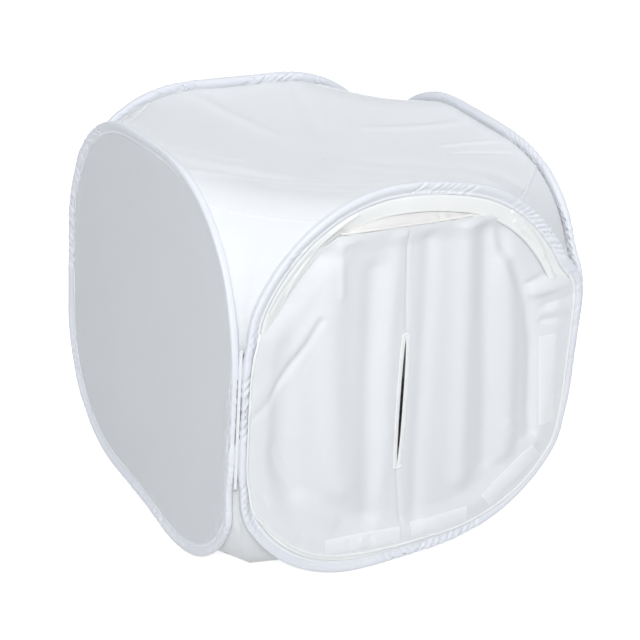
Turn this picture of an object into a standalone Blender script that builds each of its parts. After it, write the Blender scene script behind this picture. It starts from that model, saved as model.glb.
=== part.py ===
"""Pop-up light tent cube for small product photography.

Four sprung hoops in cloth sleeves stand as the back, left, right and front of a cube. They are whipped
together along the four upright corners, so the cube folds flat as a parallelogram. The cloth pulls each
hoop a little out of true in its own plane. The back, left and right hoops hold a diffusing panel. The roof and the floor are cloth stretched between the hoops, with a
gusset in each corner. The front is open, with a loop-faced rim that carries a cover with a lens slit.

Metres, +Z up. The origin is in the middle of the footprint, on the surface that the tent stands on.
The camera side is -Y. Run with: blender --background --python part.py
"""

import functools
import math

import bmesh
import bpy
import numpy as np
from mathutils import Vector

# Gap between neighbouring pieces, and play between sleeves at their hinge lines
CLEARANCE = 0.0003
HINGE_PLAY = 0.0005
# Points of a grid that lie closer together than this are joined
WELD = 0.00001

# Hoops: outline over the sleeve. The outline has straight sides and superellipse corners.
HOOP_WIDTH = 0.490
HOOP_HEIGHT = 0.500
STRAIGHT_SHARE = 0.20
STRAIGHT_STEPS = 3
CORNER_POWER = 2.22
CORNER_STEPS = 10

# How far the cloth pulls each hoop outward in its own plane, as shares of half its height, at every
# eighth of a turn from its +x or +y side by way of its top, and how far beyond the corner seams'
# ends the pull comes in
PULL_SHARES = {
    "back": (0.047, 0.039, -0.002, 0.026, 0.006, -0.019, 0.0, -0.019),
    "left": (-0.004, 0.012, 0.066, 0.018, 0.020, 0.051, -0.060, -0.027),
    "front": (0.034, -0.082, 0.054, 0.019, 0.052, -0.006, 0.0, -0.016),
    "right": (-0.007, 0.006, -0.024, -0.054, -0.028, 0.001, 0.0, 0.002),
}
PULL_EASE = 0.055

# Sleeve: a folded cloth tube round the spring, closed by two lips that hold the panel's edge
SLEEVE_THICKNESS = 0.009
SLEEVE_WIDTH = 0.016
SLEEVE_WALL = 0.001
LIP_LENGTH = 0.005
LIP_WALL = 0.001
# The tube is an octagon round the spring: half of a side over its apothem
OCTAGON_SHARE = math.tan(math.radians(22.5))

# Flat spring steel, standing on edge across the hoop's plane, and the crimp over its joint
STEEL_WIDTH = 0.0048
STEEL_THICKNESS = 0.0008
CRIMP_WALL = 0.0005
CRIMP_LENGTH = 0.030

# Cloth
PANEL_THICKNESS = 0.0012
CLOTH_THICKNESS = 0.001
PANEL_TUCK = 0.0035

# Roof and floor
GUSSET_SEAM_X = 0.130
GUSSET_GAP = 0.0009
ROOF_DIP = 0.034
FLOOR_HALF = 0.150
FLOOR_THICKNESS = 0.001
SEAM_LENGTH = 0.180
SEAM_SIDES = 12
SEAM_SHARP = math.radians(40)
CLOTH_COLUMNS, CLOTH_ROWS = 14, 5
GUSSET_COLUMNS, GUSSET_ROWS = 4, 6

# Front rim, its loop tape, and the cover with its hook strips
RIM_WIDTH = 0.021
RIM_THICKNESS = 0.001
TAPE_WIDTH = 0.019
TAPE_THICKNESS = 0.0007
HOOK_WIDTH = 0.0152
HOOK_THICKNESS = 0.0007
COVER_THICKNESS = 0.0009
HEADER_DROP = 0.0385
COVER_EDGE_GAP = 0.001
COVER_TUCK_GAP = 0.003
COVER_RECESS = 0.0045
RECESS_GAP = 0.006
FOLD_HEIGHT = 0.0022
HEM_MARGIN = 0.040
LEFT_TUCK_LOW, LEFT_TUCK_HIGH = 0.085, 0.140
RIGHT_TUCK_LOW, RIGHT_TUCK_HIGH = 0.015, 0.080
SEAM_X = -0.020
SLIT_TOP, SLIT_FOOT = 0.070, -0.113
SLIT_GAP = 0.0064
BINDING_WIDTH = 0.006
BINDING_THICKNESS = 0.0006
TACK_WIDTH = 0.009
TACK_HEIGHT = 0.004
COVER_COLUMNS = 11
SLIT_ROWS = 8
ROW_GAP = 0.004

# Colours as linear red, green, blue
WHITE_CLOTH = (0.78, 0.80, 0.83)
GREY_CLOTH = (0.62, 0.66, 0.72)
PANEL_CLOTH = (0.56, 0.60, 0.66)
COVER_CLOTH = (0.74, 0.77, 0.80)
CREAM_TAPE = (0.83, 0.83, 0.80)
STEEL = (0.35, 0.36, 0.38)
CRIMP_METAL = (0.55, 0.56, 0.58)
THREAD = (0.80, 0.82, 0.84)

# Places that follow from the sizes above
SLEEVE_HALF = SLEEVE_THICKNESS / 2
HINGE_REACH = SLEEVE_HALF + HINGE_PLAY
HALF_WIDTH = HOOP_WIDTH / 2
HALF_HEIGHT = HOOP_HEIGHT / 2
PIVOT = HALF_WIDTH + HINGE_PLAY
HOOP_PLANE = PIVOT + HINGE_REACH
LIP_HALF = PANEL_THICKNESS / 2 + CLEARANCE + LIP_WALL
CLOTH_PLANE = HOOP_PLANE - LIP_HALF - CLEARANCE - CLOTH_THICKNESS / 2
CLOTH_INSET = SLEEVE_WIDTH - LIP_LENGTH / 2
PANEL_INSET = SLEEVE_WIDTH - PANEL_TUCK
RIM_INNER = SLEEVE_WIDTH + RIM_WIDTH
TAPE_OUTER = SLEEVE_WIDTH + COVER_EDGE_GAP
TAPE_INNER = TAPE_OUTER + TAPE_WIDTH
TAPE_FACE = RIM_THICKNESS / 2 + CLEARANCE
HOOK_FACE = TAPE_FACE + TAPE_THICKNESS + CLEARANCE
COVER_FACE = HOOK_FACE + HOOK_THICKNESS + CLEARANCE
COVER_MID = COVER_FACE + COVER_THICKNESS / 2
HEADER_LINE = HALF_HEIGHT - HEADER_DROP
COVER_FOOT = HALF_HEIGHT - SLEEVE_WIDTH - COVER_EDGE_GAP
PULL_START = SEAM_LENGTH / 2


def clear_scene():
    for item in list(bpy.data.objects):
        bpy.data.objects.remove(item, do_unlink=True)


clear_scene()
parts = bpy.data.collections.new("light_tent_cube")
guides = bpy.data.collections.new("guides")
bpy.context.scene.collection.children.link(parts)
bpy.context.scene.collection.children.link(guides)


def finish(name, colour, roughness, metallic=0.0):
    material = bpy.data.materials.new(name)
    material.use_nodes = True
    shader = material.node_tree.nodes["Principled BSDF"]
    shader.inputs["Base Color"].default_value = (*colour, 1.0)
    shader.inputs["Roughness"].default_value = roughness
    shader.inputs["Metallic"].default_value = metallic
    return material


SLEEVE_FINISH = finish("sleeve_cloth", GREY_CLOTH, 0.6)
PANEL_FINISH = finish("panel_cloth", PANEL_CLOTH, 0.75)
ROOF_FINISH = finish("roof_cloth", WHITE_CLOTH, 0.6)
COVER_FINISH = finish("cover_cloth", COVER_CLOTH, 0.7)
TAPE_FINISH = finish("loop_tape", CREAM_TAPE, 0.95)
HOOK_FINISH = finish("hook_tape", WHITE_CLOTH, 0.7)
STEEL_FINISH = finish("spring_steel", STEEL, 0.35, 1.0)
CRIMP_FINISH = finish("crimp_steel", CRIMP_METAL, 0.4, 1.0)
THREAD_FINISH = finish("thread", THREAD, 0.7)


def corner_axis(name, x, y, z=0.0):
    """An empty on a joint's axis, which the pieces that turn about it hang from."""
    axis = bpy.data.objects.new(name, None)
    axis.location = (x, y, z)
    guides.objects.link(axis)
    bpy.context.view_layer.update()
    return axis


def add_part(item, material, axis=None):
    """Puts a finished object in the model and hangs it from its joint's axis."""
    item.data.materials.clear()
    item.data.materials.append(material)
    for owner in list(item.users_collection):
        owner.objects.unlink(item)
    parts.objects.link(item)
    if axis is not None:
        item.parent = axis
        item.matrix_parent_inverse = axis.matrix_world.inverted()
    return item


def smooth(value):
    """Eases a share from 0 to 1."""
    value = min(max(value, 0.0), 1.0)
    return value * value * (3 - 2 * value)


def hoop_loop():
    """A hoop's plain outline over its sleeve, counter-clockwise, as points in its own plane."""

    def along(half, value):
        start = STRAIGHT_SHARE * half
        return start + (half - start) * max(value, 0.0) ** (2 / CORNER_POWER)

    turns = [math.pi / 2 * step / CORNER_STEPS for step in range(CORNER_STEPS + 1)]
    right = [(along(HALF_WIDTH, math.cos(t)), along(HALF_HEIGHT, math.sin(t))) for t in turns]
    shares = [1 - 2 * step / STRAIGHT_STEPS for step in range(1, STRAIGHT_STEPS)]
    top = [(STRAIGHT_SHARE * HALF_WIDTH * share, HALF_HEIGHT) for share in shares]
    upper = [*right, *top, *((-x, z) for x, z in reversed(right))]
    return upper + [(-x, -z) for x, z in upper]


def pull_at(side, place):
    """How far a side's cloth pulls its hoop outward at a point of the plain outline."""
    turn = math.atan2(place.y / HALF_HEIGHT, place.x / HALF_WIDTH)
    shares = PULL_SHARES[side]
    pull = 0.0
    for step, share in enumerate(shares):
        apart = turn - 2 * math.pi * step / len(shares)
        wave = 1 + math.cos(4 * apart) + 2 * sum(math.cos(k * apart) for k in (1, 2, 3))
        pull += HALF_HEIGHT * share * wave / len(shares)
    return pull * smooth((abs(place.y) - PULL_START) / PULL_EASE)


def outward(loop):
    """The direction out of a closed loop at each of its points."""
    found = []
    for here, place in enumerate(loop):
        before = (place - loop[here - 1]).normalized()
        after = (loop[(here + 1) % len(loop)] - place).normalized()
        ahead = (before + after).normalized()
        found.append(Vector((ahead.y, -ahead.x)))
    return found


@functools.cache
def outline(side=None, inset=0.0):
    """A side's outline drawn in by inset, square to its own run, or the plain one without a side."""
    loop = [Vector(point) for point in hoop_loop()]
    if side is not None:
        loop = [place + out * pull_at(side, place) for place, out in zip(loop, outward(loop))]
    drawn = [place - out * inset for place, out in zip(loop, outward(loop))]
    return [(place.x, max(place.y, inset - HALF_HEIGHT)) for place in drawn]


def half_width_at(height, inset, side=None, hand=1):
    """How far the drawn-in outline reaches to one hand at a height from the hoop's middle."""
    least = STRAIGHT_SHARE * HALF_WIDTH / 2
    reach = sorted((z, hand * x) for x, z in outline(side, inset) if hand * x > least)
    return float(np.interp(height, [z for z, _ in reach], [x for _, x in reach]))


def flat_curve(name, loops, thickness=0.0):
    """A 2D curve of closed loops, filled and made thick where it is a flat piece."""
    data = bpy.data.curves.new(name, "CURVE")
    data.dimensions = "2D"
    for loop in loops:
        spline = data.splines.new("POLY")
        spline.points.add(len(loop) - 1)
        for point, place in zip(spline.points, loop):
            point.co = (place[0], place[1], 0.0, 1.0)
        spline.use_cyclic_u = True
    if thickness:
        data.fill_mode = "BOTH"
        data.extrude = thickness / 2
    else:
        data.fill_mode = "NONE"
    return bpy.data.objects.new(name, data)


def section(name, points):
    """A sweep's section: x runs in towards the hoop's middle, y across its plane."""
    guide = flat_curve(name, [points])
    guide.hide_render = True
    guide.display_type = "WIRE"
    guides.objects.link(guide)
    return guide


def swept(name, guide, side):
    """A section carried round a side's outline."""
    path = flat_curve(name, [outline(side)])
    path.data.bevel_mode = "OBJECT"
    path.data.bevel_object = guide
    return path


# Each hoop's plane: its object's turn about Z after it is stood up, and where its middle is
SIDES = {
    "back": (0.0, (0.0, HOOP_PLANE, HALF_HEIGHT)),
    "left": (math.pi / 2, (-HOOP_PLANE, 0.0, HALF_HEIGHT)),
    "front": (0.0, (0.0, -HOOP_PLANE, HALF_HEIGHT)),
    "right": (math.pi / 2, (HOOP_PLANE, 0.0, HALF_HEIGHT)),
}
# How far the back's cloth pieces turn about Z to serve each side or the corner after it
TURNS = {"back": 0.0, "left": math.pi / 2, "front": math.pi, "right": 3 * math.pi / 2}

AXES = {
    "back": None,
    "left": corner_axis("left_corner_axis", -PIVOT, PIVOT),
    "right": corner_axis("right_corner_axis", PIVOT, PIVOT),
    "front": corner_axis("front_corner_axis", PIVOT, -PIVOT),
}
AXES["cover"] = corner_axis(
    "cover_axis", 0.0, -HOOP_PLANE - COVER_MID, HALF_HEIGHT + HEADER_LINE
)


def stand(item, side):
    """Stands a piece drawn in the hoop's own plane up in its side of the cube."""
    turn, place = SIDES[side]
    item.rotation_euler = (math.pi / 2, 0.0, turn)
    item.location = place
    return item


def sleeve_section():
    """The folded tube, open inwards between its lips, clockwise so that its faces point out."""
    corner = SLEEVE_HALF * OCTAGON_SHARE
    inner = SLEEVE_HALF - SLEEVE_WALL
    inner_corner = inner * OCTAGON_SHARE
    neck = SLEEVE_WIDTH - LIP_LENGTH
    slot = LIP_HALF - LIP_WALL
    upper = [
        (SLEEVE_WIDTH, LIP_HALF),
        (neck, LIP_HALF),
        (SLEEVE_HALF + corner, SLEEVE_HALF),
        (SLEEVE_HALF - corner, SLEEVE_HALF),
        (0.0, corner),
    ]
    hollow = [
        (SLEEVE_WALL, inner_corner),
        (SLEEVE_HALF - inner_corner, inner),
        (SLEEVE_HALF + inner_corner, inner),
        (neck - SLEEVE_WALL, slot),
        (SLEEVE_WIDTH, slot),
    ]
    outside = upper + [(x, -y) for x, y in reversed(upper)]
    inside = [(x, -y) for x, y in reversed(hollow)] + hollow
    return list(reversed(outside + inside))


def rectangle(low_x, high_x, low_y, high_y):
    """A rectangle wound clockwise, as a sweep's section needs."""
    return [(low_x, low_y), (low_x, high_y), (high_x, high_y), (high_x, low_y)]


def make_sleeves():
    guide = section("sleeve_section", sleeve_section())
    for side in SIDES:
        item = swept(f"{side}_sleeve", guide, side)
        add_part(stand(item, side), SLEEVE_FINISH, AXES[side])


def make_springs():
    half = STEEL_THICKNESS / 2
    guide = section(
        "spring_section",
        rectangle(SLEEVE_HALF - half, SLEEVE_HALF + half, -STEEL_WIDTH / 2, STEEL_WIDTH / 2),
    )
    for side in SIDES:
        item = swept(f"{side}_spring_hoop", guide, side)
        add_part(stand(item, side), STEEL_FINISH, AXES[side])


def make_crimps():
    """The crimp is a flat tube over the spring's butted ends, on the straight run at each hoop's foot."""
    bore_x = STEEL_THICKNESS / 2 + CLEARANCE
    bore_y = STEEL_WIDTH / 2 + CLEARANCE
    bore = rectangle(-bore_x, bore_x, -bore_y, bore_y)
    wall = CRIMP_WALL
    skin = rectangle(-bore_x - wall, bore_x + wall, -bore_y - wall, bore_y + wall)
    for side in SIDES:
        item = flat_curve(f"{side}_crimp", [skin, bore], CRIMP_LENGTH)
        foot = [place for place in outline(side, SLEEVE_HALF) if place[1] < 0]
        first, last = sorted(sorted(foot, key=lambda place: abs(place[0]))[:2])
        tilt = math.atan2(last[1] - first[1], last[0] - first[0])
        turn, (x, y, _) = SIDES[side]
        item.rotation_euler = (0.0, math.pi / 2 - tilt, turn)
        item.location = (x, y, HALF_HEIGHT + (first[1] + last[1]) / 2)
        add_part(item, CRIMP_FINISH, AXES[side])


def make_panels():
    for side in ("back", "left", "right"):
        item = flat_curve(f"{side}_panel", [outline(side, PANEL_INSET)], PANEL_THICKNESS)
        add_part(stand(item, side), PANEL_FINISH, AXES[side])


def make_corner_seams():
    """Whipping that joins neighbouring sleeves: a bead on each hinge line."""
    reach = math.hypot(HINGE_REACH, HINGE_REACH)
    radius = reach - SLEEVE_HALF - CLEARANCE
    corners = {
        "back_left": ("back", -PIVOT, PIVOT),
        "back_right": ("back", PIVOT, PIVOT),
        "front_right": ("right", PIVOT, -PIVOT),
        "front_left": ("left", -PIVOT, -PIVOT),
    }
    for corner, (side, x, y) in corners.items():
        bpy.ops.mesh.primitive_cylinder_add(
            vertices=SEAM_SIDES, radius=radius, depth=SEAM_LENGTH, location=(x, y, HALF_HEIGHT)
        )
        item = bpy.context.active_object
        item.name = f"{corner}_corner_seam"
        item.data.shade_smooth()
        item.data.set_sharp_from_angle(angle=SEAM_SHARP)
        add_part(item, THREAD_FINISH, AXES[side])


def cloth_arc():
    """Heights of the cloth's plain sewn edge against its distance in from the hoop's corner line."""
    quarter = outline(None, CLOTH_INSET)[: CORNER_STEPS + 1]
    seam_end = SEAM_LENGTH / 2
    start_x = half_width_at(seam_end, CLOTH_INSET)
    rising = [(x, z) for x, z in quarter if z > seam_end]
    points = [(start_x, seam_end), *rising, (0.0, HALF_HEIGHT - CLOTH_INSET)]
    inward = [CLOTH_PLANE - x for x, _ in points]
    heights = [z for _, z in points]
    return np.array(inward), np.array(heights)


ARC_IN, ARC_HEIGHT = cloth_arc()
CORNER_IN = float(ARC_IN[0])
SEAM_IN = CLOTH_PLANE - GUSSET_SEAM_X


def dip_share(x, y):
    """How much of the full dip the cloth has at a point: none at the hoops, all in the middle."""
    return (1 - min(abs(x) / CLOTH_PLANE, 1) ** 2) * (1 - min(abs(y) / CLOTH_PLANE, 1) ** 2)


def edge_pull(side, sign):
    """The pull on the cloth's sewn edge over or under a hoop's middle: places, slides and lifts."""
    pairs = zip(outline(None, CLOTH_INSET), outline(side, CLOTH_INSET))
    rows = sorted((x, drawn_x - x, drawn_z - z) for (x, z), (drawn_x, drawn_z) in pairs if sign * z > 0)
    return tuple(zip(*rows))


EDGE_PULLS = {(side, sign): edge_pull(side, sign) for side in SIDES for sign in (1, -1)}


def pulled(x, y, z, sign, share=1.0):
    """A point of the roof or the floor, moved as the hoops round it are pulled."""
    slip = max(abs(x) + abs(y) - CLOTH_PLANE, 0.0)
    gaps = {
        "left": CLOTH_PLANE + x,
        "right": CLOTH_PLANE - x,
        "front": CLOTH_PLANE + y,
        "back": CLOTH_PLANE - y,
    }
    weights = {side: max(gap, CLEARANCE) ** -2 for side, gap in gaps.items()}
    moved = Vector((x, y, z))
    for side, weight in weights.items():
        along = 0 if side in ("front", "back") else 1
        places, slides, lifts = EDGE_PULLS[side, sign]
        across = math.copysign(slip, (x, y)[along])
        part = share * weight / sum(weights.values())
        moved[along] += part * float(np.interp(across, places, slides))
        moved.z += part * float(np.interp(across, places, lifts))
    return moved


def roof_point(x, y):
    """Where the roof's cloth is over a point of the plan."""
    inward = 2 * CLOTH_PLANE - abs(x) - abs(y)
    arc = float(np.interp(inward, ARC_IN, ARC_HEIGHT))
    return pulled(x, y, HALF_HEIGHT + arc - ROOF_DIP * dip_share(x, y), 1)


def floor_point(x, y):
    """The same for the floor, which slopes down to the surface that the tent stands on."""
    inward = 2 * CLOTH_PLANE - abs(x) - abs(y)
    arc = float(np.interp(inward, ARC_IN, ARC_HEIGHT))
    table = HALF_HEIGHT - FLOOR_THICKNESS / 2
    down = smooth((CLOTH_PLANE - max(abs(x), abs(y))) / (CLOTH_PLANE - FLOOR_HALF))
    point = pulled(x, y, HALF_HEIGHT - arc - (table - arc) * down, -1, 1 - down)
    point.z = max(point.z, FLOOR_THICKNESS / 2)
    return point


def warped_grid(name, columns, rows, place):
    """A grid whose points are put where place(across, along) says, both from 0 to 1."""
    mesh = bpy.data.meshes.new(name)
    bm = bmesh.new()
    bmesh.ops.create_grid(bm, x_segments=columns, y_segments=rows, size=0.5)
    for vertex in bm.verts:
        vertex.co = place(vertex.co.x + 0.5, vertex.co.y + 0.5)
    bmesh.ops.remove_doubles(bm, verts=bm.verts, dist=WELD)
    bmesh.ops.recalc_face_normals(bm, faces=bm.faces)
    bm.to_mesh(mesh)
    bm.free()
    mesh.shade_smooth()
    return bpy.data.objects.new(name, mesh)


def thicken(item, thickness):
    solid = item.modifiers.new("cloth", "SOLIDIFY")
    solid.thickness = thickness
    solid.offset = 0.0
    solid.use_even_offset = True
    return item


def turned(x, y, side):
    """A point over the back's share of the plan, turned to another side's share."""
    cosine, sine = math.cos(TURNS[side]), math.sin(TURNS[side])
    return cosine * x - sine * y, sine * x + cosine * y


def panel_place(point_at, inner_half, side):
    """Where the points of a side's share of a roof or floor go."""
    diagonal = CLOTH_PLANE - SEAM_IN / 2
    away = Vector((*turned(0.0, CLEARANCE, side), 0.0))

    def place(across, along):
        x = (2 * across - 1) * diagonal
        outer = min(CLOTH_PLANE, 2 * CLOTH_PLANE - SEAM_IN - abs(x))
        inner = max(abs(x), inner_half)
        y = outer + (min(inner, outer) - outer) * along
        return point_at(*turned(x, y, side)) + away

    return place


def gusset_place(point_at, side):
    """Where the points of the gusset go in the corner clockwise of a side, seen from above."""
    last = SEAM_IN - GUSSET_GAP

    def place(across, along):
        inward = CORNER_IN + (last - CORNER_IN) * along
        x = CLOTH_PLANE - inward * across
        y = CLOTH_PLANE - inward * (1 - across)
        return point_at(*turned(x, y, side))

    return place


GUSSET_CORNERS = {
    "back": "back_right",
    "left": "back_left",
    "front": "front_left",
    "right": "front_right",
}


def make_cloth_set(kind, point_at, inner_half):
    """Four panels and four corner gussets for the roof or the floor."""
    for side, corner in GUSSET_CORNERS.items():
        place = panel_place(point_at, inner_half, side)
        panel = warped_grid(f"{side}_{kind}", CLOTH_COLUMNS, CLOTH_ROWS, place)
        add_part(thicken(panel, CLOTH_THICKNESS), ROOF_FINISH, AXES[side])
        place = gusset_place(point_at, side)
        gusset = warped_grid(f"{corner}_{kind}_gusset", GUSSET_COLUMNS, GUSSET_ROWS, place)
        add_part(thicken(gusset, CLOTH_THICKNESS), ROOF_FINISH, AXES[side])


def make_floor_sheet():
    """The middle of the floor, which lies flat on the table and carries the product."""
    bpy.ops.mesh.primitive_cube_add(size=1.0)
    item = bpy.context.active_object
    item.name = "floor_sheet"
    side = 2 * FLOOR_HALF - CLEARANCE
    for vertex in item.data.vertices:
        vertex.co.x *= side
        vertex.co.y *= side
        vertex.co.z *= FLOOR_THICKNESS
    item.location = (0.0, 0.0, FLOOR_THICKNESS / 2)
    add_part(item, ROOF_FINISH)


def make_front_rim():
    """A hem round the open front, faced with loop tape for the cover to grip."""
    half = RIM_THICKNESS / 2
    hem = section("rim_section", rectangle(PANEL_INSET, RIM_INNER, -half, half))
    add_part(stand(swept("front_rim", hem, "front"), "front"), SLEEVE_FINISH, AXES["front"])
    face = TAPE_FACE + TAPE_THICKNESS
    tape = section("tape_section", rectangle(TAPE_OUTER, TAPE_INNER, TAPE_FACE, face))
    add_part(stand(swept("loop_tape", tape, "front"), "front"), TAPE_FINISH, AXES["front"])


def make_header():
    """The cover's top margin, fixed inside the rim: a bow closed by a straight fold line."""
    inset = RIM_INNER + CLEARANCE
    base = HEADER_LINE + CLEARANCE
    arch = [(x, z) for x, z in outline("front", inset) if z > base]
    right, left = (half_width_at(base, inset, "front", hand) for hand in (1, -1))
    loop = [(right, base), *arch, (-left, base)]
    item = flat_curve("cover_header", [loop], COVER_THICKNESS)
    add_part(stand(item, "front"), COVER_FINISH, AXES["front"])


def cover_edge(z, side):
    """The cover's half width: over the loop tape low down, inside the rim higher up."""
    low, high = (LEFT_TUCK_LOW, LEFT_TUCK_HIGH) if side < 0 else (RIGHT_TUCK_LOW, RIGHT_TUCK_HIGH)
    tuck = smooth((z - low) / (high - low))
    wide = half_width_at(z, SLEEVE_WIDTH + COVER_EDGE_GAP, "front", side)
    narrow = half_width_at(z, RIM_INNER + COVER_TUCK_GAP, "front", side)
    return wide + (narrow - wide) * tuck


# Folds of the hanging cover: x at the header, x at the foot, width, and height as a share
FOLD_SHARES = (
    (-0.52, -0.47, 0.09, 1.0),
    (0.40, 0.92, 0.10, 1.0),
    (-0.24, -0.30, 0.12, 0.6),
    (0.17, 0.22, 0.12, 0.7),
)


def cover_out(x, z):
    """How far the cover's middle surface stands out of the front hoop's plane."""
    mouth = RIM_INNER + RECESS_GAP
    reach = half_width_at(z, mouth, "front", math.copysign(1, x))
    side = smooth((reach - abs(x)) / HEM_MARGIN)
    head = smooth((HEADER_LINE - z) / HEM_MARGIN)
    foot = smooth((HALF_HEIGHT - mouth + z) / HEM_MARGIN)
    depth = side * head * foot
    drop = (HEADER_LINE - z) / (HEADER_LINE + COVER_FOOT)
    ridges = 0.0
    for top, low, width, height in FOLD_SHARES:
        middle = HALF_WIDTH * (top + (low - top) * drop)
        ridges += height * math.exp(-(((x - middle) / (HALF_WIDTH * width)) ** 2))
    return COVER_MID - depth * (COVER_RECESS - FOLD_HEIGHT * ridges)


def slit_half(z):
    """Half the slit's width: a long lens shape, closed at both ends."""
    middle = (SLIT_TOP + SLIT_FOOT) / 2
    share = abs(z - middle) / ((SLIT_TOP - SLIT_FOOT) / 2)
    return SLIT_GAP / 2 * max(1 - share**4, 0.0)


def cover_rows(side):
    """Heights of the cover's rows: by the outline's steps at head and foot, even along the slit."""
    least = STRAIGHT_SHARE * HALF_WIDTH / 2
    low = outline("front", SLEEVE_WIDTH + COVER_EDGE_GAP)
    high = outline("front", RIM_INNER + COVER_TUCK_GAP)
    top = HEADER_LINE - CLEARANCE
    foot_rows = sorted(z for x, z in low if side * x > least and z < SLIT_FOOT - ROW_GAP)
    head_rows = sorted(z for x, z in high if side * x > least and SLIT_TOP + ROW_GAP < z < top - ROW_GAP)
    slit_rows = np.linspace(SLIT_FOOT, SLIT_TOP, SLIT_ROWS + 1)
    return [*foot_rows, *slit_rows, *head_rows, top]


def at_front(x, z, out):
    """A point of the front, from its place in the hoop's plane and how far it stands out."""
    return (x, -HOOP_PLANE - out, HALF_HEIGHT + z)


def between(share, values):
    place = share * (len(values) - 1)
    return float(np.interp(place, range(len(values)), values))


def cover_half(name, side):
    """Half of the cover, from its outer edge to the middle seam and slit."""
    rows = cover_rows(side)

    def place(across, along):
        z = between(along, rows)
        inner = SEAM_X + side * (CLEARANCE / 2 + slit_half(z))
        outer = side * cover_edge(z, side)
        x = inner + (outer - inner) * across
        return at_front(x, z, cover_out(x, z))

    item = warped_grid(name, COVER_COLUMNS, len(rows) - 1, place)
    thicken(item, COVER_THICKNESS)
    return add_part(item, COVER_FINISH, AXES["cover"])


def make_cover():
    cover_half("cover_left", -1)
    cover_half("cover_right", 1)


def make_slit_bindings():
    """Binding tape sewn down both edges of the slit, on the camera side."""
    out = COVER_THICKNESS / 2 + CLEARANCE + BINDING_THICKNESS / 2
    for name, side in (("slit_binding_left", -1), ("slit_binding_right", 1)):

        def place(across, along, side=side):
            z = SLIT_FOOT + (SLIT_TOP - SLIT_FOOT) * along
            near = CLEARANCE / 2 + slit_half(z)
            x = SEAM_X + side * (near + BINDING_WIDTH * across)
            return at_front(x, z, cover_out(x, z) + out)

        item = warped_grid(name, 1, SLIT_ROWS, place)
        thicken(item, BINDING_THICKNESS)
        add_part(item, HOOK_FINISH, AXES["cover"])


def make_slit_tacks():
    """Bar tacks that close the slit's two ends."""
    out = COVER_THICKNESS / 2 + CLEARANCE + BINDING_THICKNESS / 2
    shift = TACK_HEIGHT / 2 + CLEARANCE
    ends = {"slit_tack_top": SLIT_TOP + shift, "slit_tack_foot": SLIT_FOOT - shift}
    for name, middle in ends.items():

        def place(across, along, middle=middle):
            x = SEAM_X + TACK_WIDTH * (across - 0.5)
            z = middle + TACK_HEIGHT * (along - 0.5)
            return at_front(x, z, cover_out(x, z) + out)

        item = warped_grid(name, 2, 1, place)
        thicken(item, BINDING_THICKNESS)
        add_part(item, THREAD_FINISH, AXES["cover"])


# Hook strips: the two ends of each one's middle line, as shares of the tape's middle half sizes
STRIP_SHARES = {
    "hook_strip_right": ((0.985, 0.16), (0.958, -0.49)),
    "hook_strip_corner": ((0.90, -0.63), (0.60, -0.895)),
    "hook_strip_foot_right": ((0.46, -0.955), (0.08, -0.980)),
    "hook_strip_foot_left": ((-0.02, -0.980), (-0.50, -0.950)),
}


def make_hook_strips():
    """Straight strips on the back of the cover, over the loop tape."""
    inset = (TAPE_OUTER + TAPE_INNER) / 2
    half_x = HALF_WIDTH - inset
    half_z = HALF_HEIGHT - inset
    for name, ends in STRIP_SHARES.items():
        first, last = (np.array([x * half_x, z * half_z]) for x, z in ends)
        length = float(np.linalg.norm(last - first))
        middle = (first + last) / 2
        tilt = math.atan2(last[1] - first[1], last[0] - first[0])
        box = rectangle(-length / 2, length / 2, -HOOK_WIDTH / 2, HOOK_WIDTH / 2)
        item = flat_curve(name, [box], HOOK_THICKNESS)
        item.rotation_euler = (math.pi / 2, -tilt, 0.0)
        item.location = at_front(middle[0], middle[1], HOOK_FACE + HOOK_THICKNESS / 2)
        add_part(item, HOOK_FINISH, AXES["cover"])


make_springs()
make_crimps()
make_sleeves()
make_panels()
make_corner_seams()
make_cloth_set("roof", roof_point, 0.0)
make_cloth_set("floor", floor_point, FLOOR_HALF + CLEARANCE)
make_floor_sheet()
make_front_rim()
make_header()
make_cover()
make_slit_bindings()
make_slit_tacks()
make_hook_strips()
bpy.context.view_layer.update()
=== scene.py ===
import math

import bmesh
import bpy
import numpy as np
from mathutils import Matrix, Vector


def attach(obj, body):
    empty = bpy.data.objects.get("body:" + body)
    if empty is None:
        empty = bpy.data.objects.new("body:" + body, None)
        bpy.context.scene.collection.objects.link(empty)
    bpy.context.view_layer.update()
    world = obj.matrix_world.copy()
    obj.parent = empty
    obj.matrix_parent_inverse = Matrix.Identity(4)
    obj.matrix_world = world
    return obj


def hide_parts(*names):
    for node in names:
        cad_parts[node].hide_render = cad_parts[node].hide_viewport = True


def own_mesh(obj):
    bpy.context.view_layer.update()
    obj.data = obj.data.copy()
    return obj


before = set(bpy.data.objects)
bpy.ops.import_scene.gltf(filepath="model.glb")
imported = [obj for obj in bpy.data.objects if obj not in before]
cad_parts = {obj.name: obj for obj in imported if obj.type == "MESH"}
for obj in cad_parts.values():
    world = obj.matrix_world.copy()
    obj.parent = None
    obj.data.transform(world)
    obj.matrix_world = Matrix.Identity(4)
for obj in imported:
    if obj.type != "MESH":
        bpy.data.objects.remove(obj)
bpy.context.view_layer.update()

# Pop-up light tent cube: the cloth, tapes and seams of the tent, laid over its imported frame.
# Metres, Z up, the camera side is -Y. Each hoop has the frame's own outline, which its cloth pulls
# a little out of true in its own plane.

MM = 0.001
CLOSED_SIDES = ("back", "left", "right")
SIDES = (*CLOSED_SIDES, "front")
# Points round a hoop's cloth, and the cloth's gap over the ground
STATIONS = 1440
GROUND_GAP = 0.0003

# Hoops, as in the frame: the middle of their planes, their outline and its corners' roundness
HOOP_PLANE = 0.2505
HALF_WIDTH = 0.245
HALF_HEIGHT = 0.250
STRAIGHT_SHARE = 0.20
CORNER_POWER = 2.22
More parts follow.
